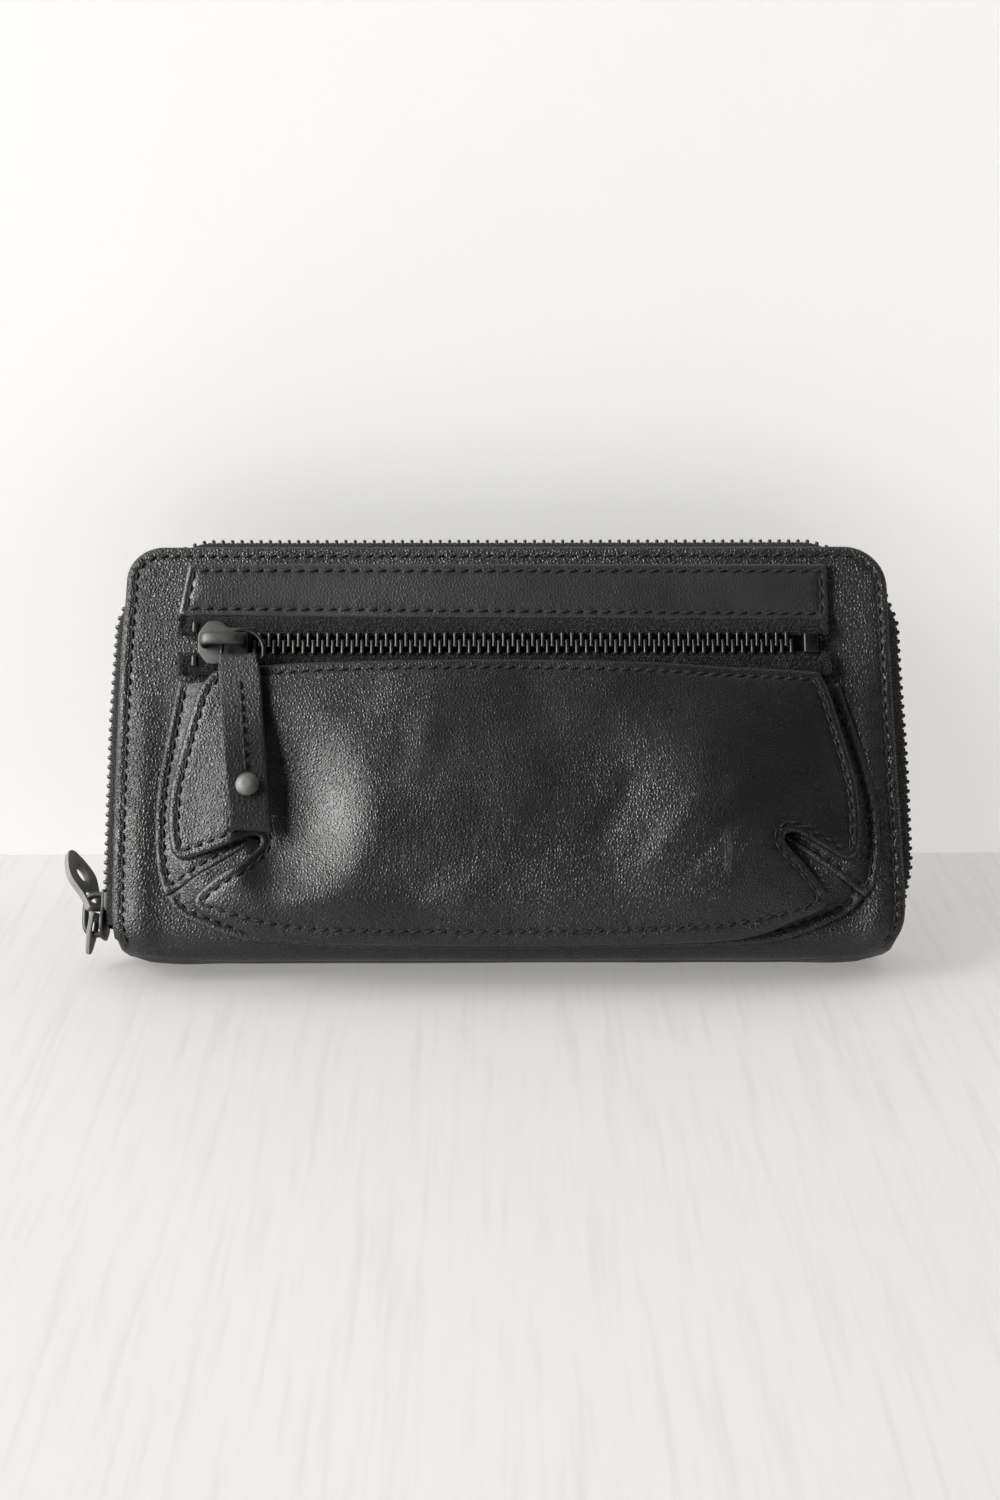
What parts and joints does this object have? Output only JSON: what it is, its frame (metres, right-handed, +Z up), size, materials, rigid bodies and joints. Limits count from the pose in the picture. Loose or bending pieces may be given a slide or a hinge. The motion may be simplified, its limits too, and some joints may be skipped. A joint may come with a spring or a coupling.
{
  "type": "zip-around wallet",
  "caption": "Long leather zip-around wallet with a zipped, gusseted front pocket, a leather pull strap and a metal zip with two pulls.",
  "frame": {"origin": "middle of the spine's flat base, on the plane halfway between the two covers", "axes": "+Z up from the spine to the zipped top edge, +X along the spine to the wearer's right when the pocket faces them, +Y from the pocket side to the plain back"},
  "size_m": [0.217, 0.0379, 0.1114],
  "materials": {
    "leather": "black, fine pebble grain, satin",
    "lining": "dark grey twill",
    "board": "plain stiffening board",
    "tape": "black woven zip tape",
    "metal": "dark gunmetal, softly worn",
    "plastic": "black coil"
  },
  "bodies": {
    "core": {"spine": "leather", "coin_pocket_front_wall": "lining", "coin_pocket_back_wall": "lining", "coin_zip_coil_front": "plastic", "coin_zip_coil_back": "plastic", "coin_zip_tape_front": "tape", "coin_zip_tape_back": "tape", "gusset_front_left_coin_leaf": "leather", "gusset_front_right_coin_leaf": "leather", "gusset_back_left_coin_leaf": "leather", "gusset_back_right_coin_leaf": "leather", "main_zip_end_stop": "metal"},
    "front_half": {"front_cover": "leather", "front_stiffener": "board", "front_lining": "lining", "front_card_panel_1": "leather", "front_card_panel_2": "leather", "front_card_panel_3": "leather", "front_card_panel_4": "leather", "front_zip_tape": "tape", "front_zip_teeth": "metal", "gusset_front_left_cover_leaf": "leather", "gusset_front_right_cover_leaf": "leather", "pocket_lining": "lining", "pocket_top_strip": "leather", "pocket_zip_tape_upper": "tape", "pocket_zip_tape_lower": "tape", "pocket_zip_teeth_upper": "metal", "pocket_zip_teeth_lower": "metal", "pocket_zip_top_stop_upper": "metal", "pocket_zip_top_stop_lower": "metal", "pocket_zip_bottom_stop": "metal", "pocket_front_panel": "leather", "pocket_side_gusset_left": "leather", "pocket_side_gusset_right": "leather", "pocket_bottom_gusset": "leather"},
    "back_half": {"back_cover": "leather", "back_stiffener": "board", "back_lining": "lining", "back_card_panel_1": "leather", "back_card_panel_2": "leather", "back_card_panel_3": "leather", "back_card_panel_4": "leather", "back_zip_tape": "tape", "back_zip_teeth": "metal", "gusset_back_left_cover_leaf": "leather", "gusset_back_right_cover_leaf": "leather"},
    "main_slider": {"main_slider_body": "metal"},
    "main_leaf": {"main_pull_leaf": "metal"},
    "main_tab": {"main_pull_tab": "metal"},
    "pocket_slider": {"pocket_slider_body": "metal"},
    "pocket_ring": {"pocket_pull_ring": "metal"},
    "pocket_pull": {"pocket_pull_strap": "leather", "pocket_pull_rivet": "metal"},
    "coin_slider": {"coin_slider_body": "metal"},
    "coin_pull": {"coin_pull_tab": "metal"}
  },
  "joints": [
    {"name": "back_open", "type": "hinge", "parent": "core", "child": "back_half", "pos_m": [0, 0.0114, 0.00815], "axis": [-1, 0, 0], "range_deg": [0, 20]},
    {"name": "front_open", "type": "hinge", "parent": "core", "child": "front_half", "pos_m": [0, -0.0114, 0.00815], "axis": [1, 0, 0], "range_deg": [0, 20]},
    {"name": "main_slider_slide", "type": "slide", "parent": "core", "child": "main_slider", "axis": [0, 0, 1], "range_m": [0, 0.065]},
    {"name": "main_leaf_swing", "type": "hinge", "parent": "main_slider", "child": "main_leaf", "pos_m": [-0.1062, 0, 0.0142], "axis": [-0.3746, -0.9272, 0], "range_deg": [-20, 55]},
    {"name": "main_tab_swing", "type": "hinge", "parent": "main_slider", "child": "main_tab", "pos_m": [-0.1062, 0, 0.012], "axis": [0.1392, 0.9903, 0], "range_deg": [-6, 60]},
    {"name": "pocket_slider_slide", "type": "slide", "parent": "front_half", "child": "pocket_slider", "axis": [1, 0, 0], "range_m": [0, 0.14]},
    {"name": "pocket_ring_tilt", "type": "hinge", "parent": "pocket_slider", "child": "pocket_ring", "pos_m": [-0.0676, -0.0188, 0.08], "axis": [-1, 0, 0], "range_deg": [0, 20]},
    {"name": "pocket_pull_lift", "type": "hinge", "parent": "pocket_ring", "child": "pocket_pull", "pos_m": [-0.0676, -0.0188, 0.0752], "axis": [-1, 0, 0], "range_deg": [0, 80]},
    {"name": "coin_slider_slide", "type": "slide", "parent": "core", "child": "coin_slider", "axis": [1, 0, 0], "range_m": [0, 0.132]},
    {"name": "coin_pull_swing", "type": "hinge", "parent": "coin_slider", "child": "coin_pull", "pos_m": [-0.0644, 0, 0.0993], "axis": [0, -1, 0], "range_deg": [0, 25]}
  ],
  "couplings": [
    {"joint": "front_open", "follows": "back_open", "ratio": 1}
  ]
}
